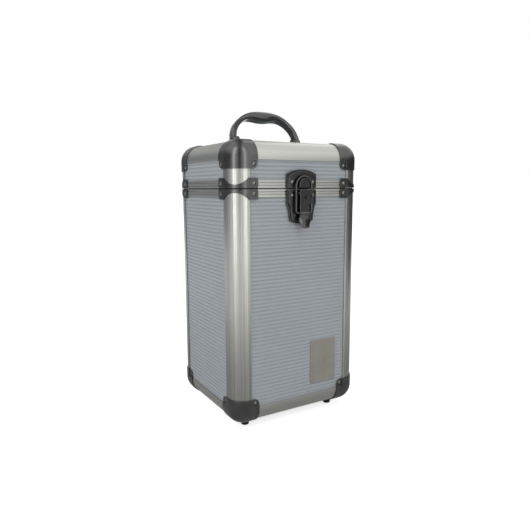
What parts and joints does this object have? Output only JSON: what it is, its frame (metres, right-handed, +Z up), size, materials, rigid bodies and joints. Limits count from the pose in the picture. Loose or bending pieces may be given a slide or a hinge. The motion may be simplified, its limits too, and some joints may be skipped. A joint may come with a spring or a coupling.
{
  "type": "upright carrying case",
  "caption": "Tall top-opening carrying case with ribbed panels in round-edged metal rails, capped corners, hinged lid, keyed draw latch and folding handle.",
  "frame": {"origin": "on the floor under the middle of the case, level with the feet's flat bottoms", "axes": "+Z up, -Y towards the front with the latch and the name plate, +X to the right seen from the front"},
  "size_m": [0.2048, 0.1988, 0.4286],
  "materials": {
    "panel_board": "fine ribs, satin laminate",
    "bottom_board": "smooth matt",
    "post_aluminium": "satin, brushed along its length",
    "rail_aluminium_x": "satin, brushed along its length",
    "rail_aluminium_y": "satin, brushed along its length",
    "rim_aluminium_x": "satin, fine ridges",
    "rim_aluminium_y": "satin, fine ridges",
    "cap_steel": "satin gunmetal",
    "brace_steel": "satin gunmetal",
    "foot_rubber": "matt",
    "rivet_steel": "bright nickel",
    "plate_metal": "matt, warm grey",
    "lining_foam": "flocked foam",
    "hinge_steel": "dark satin",
    "pin_steel": "satin",
    "latch_metal": "satin gunmetal",
    "lever_metal": "satin gunmetal",
    "lock_metal": "satin",
    "bail_wire": "satin gunmetal",
    "handle_plastic": "satin",
    "bracket_metal": "satin"
  },
  "bodies": {
    "case": {"front_panel": "panel_board", "right_panel": "panel_board", "back_panel": "panel_board", "left_panel": "panel_board", "bottom_panel": "bottom_board", "post_front_left": "post_aluminium", "post_front_right": "post_aluminium", "post_back_right": "post_aluminium", "post_back_left": "post_aluminium", "base_rail_front": "rail_aluminium_x", "base_rail_back": "rail_aluminium_x", "base_rail_left": "rail_aluminium_y", "base_rail_right": "rail_aluminium_y", "rim_rail_front": "rim_aluminium_x", "rim_rail_back": "rim_aluminium_x", "rim_rail_left": "rim_aluminium_y", "rim_rail_right": "rim_aluminium_y", "base_cap_front_left": "cap_steel", "base_cap_front_right": "cap_steel", "base_cap_back_right": "cap_steel", "base_cap_back_left": "cap_steel", "rim_braces": "brace_steel", "feet": "foot_rubber", "case_rivets": "rivet_steel", "name_plate": "plate_metal", "case_liner": "lining_foam", "hinge_case_leaves": "hinge_steel", "hinge_pins": "pin_steel", "latch_pin": "pin_steel", "latch_base": "latch_metal"},
    "lid": {"lid_front_panel": "panel_board", "lid_right_panel": "panel_board", "lid_back_panel": "panel_board", "lid_left_panel": "panel_board", "lid_top_panel": "panel_board", "lid_posts": "post_aluminium", "lid_top_rail_front": "rail_aluminium_x", "lid_top_rail_right": "rail_aluminium_y", "lid_top_rail_back": "rail_aluminium_x", "lid_top_rail_left": "rail_aluminium_y", "lid_rim_rail_front": "rim_aluminium_x", "lid_rim_rail_right": "rim_aluminium_y", "lid_rim_rail_back": "rim_aluminium_x", "lid_rim_rail_left": "rim_aluminium_y", "lid_cap_front_left": "cap_steel", "lid_cap_front_right": "cap_steel", "lid_cap_back_right": "cap_steel", "lid_cap_back_left": "cap_steel", "lid_rim_braces": "brace_steel", "lid_rivets": "rivet_steel", "lid_liner": "lining_foam", "hinge_lid_leaves": "hinge_steel", "strike_plate": "latch_metal", "handle_brackets": "bracket_metal", "handle_pins": "pin_steel"},
    "latch_lever": {"latch_lever": "lever_metal"},
    "lock_cylinder": {"lock_cylinder": "lock_metal"},
    "latch_bail": {"latch_bail": "bail_wire"},
    "handle": {"handle": "handle_plastic"}
  },
  "joints": [
    {"name": "lid_hinge", "type": "hinge", "parent": "case", "child": "lid", "pos_m": [0, 0.0939, 0.3202], "axis": [-1, 0, 0], "range_deg": [0, 100]},
    {"name": "latch_lever_pivot", "type": "hinge", "parent": "case", "child": "latch_lever", "pos_m": [0, -0.0967, 0.314], "axis": [-1, 0, 0], "range_deg": [0, 120]},
    {"name": "latch_bail_pivot", "type": "hinge", "parent": "latch_lever", "child": "latch_bail", "pos_m": [0, -0.0963, 0.289], "axis": [-1, 0, 0], "range_deg": [-300, 0]},
    {"name": "lock_turn", "type": "hinge", "parent": "latch_lever", "child": "lock_cylinder", "pos_m": [0, -0.0967, 0.3092], "axis": [0, 1, 0], "range_deg": [0, 90]},
    {"name": "handle_fold", "type": "hinge", "parent": "lid", "child": "handle", "pos_m": [0, 0, 0.3861], "axis": [1, 0, 0], "range_deg": [-64, 102]}
  ],
  "couplings": [
    {"joint": "latch_bail_pivot", "follows": "latch_lever_pivot", "ratio": -2.5}
  ]
}
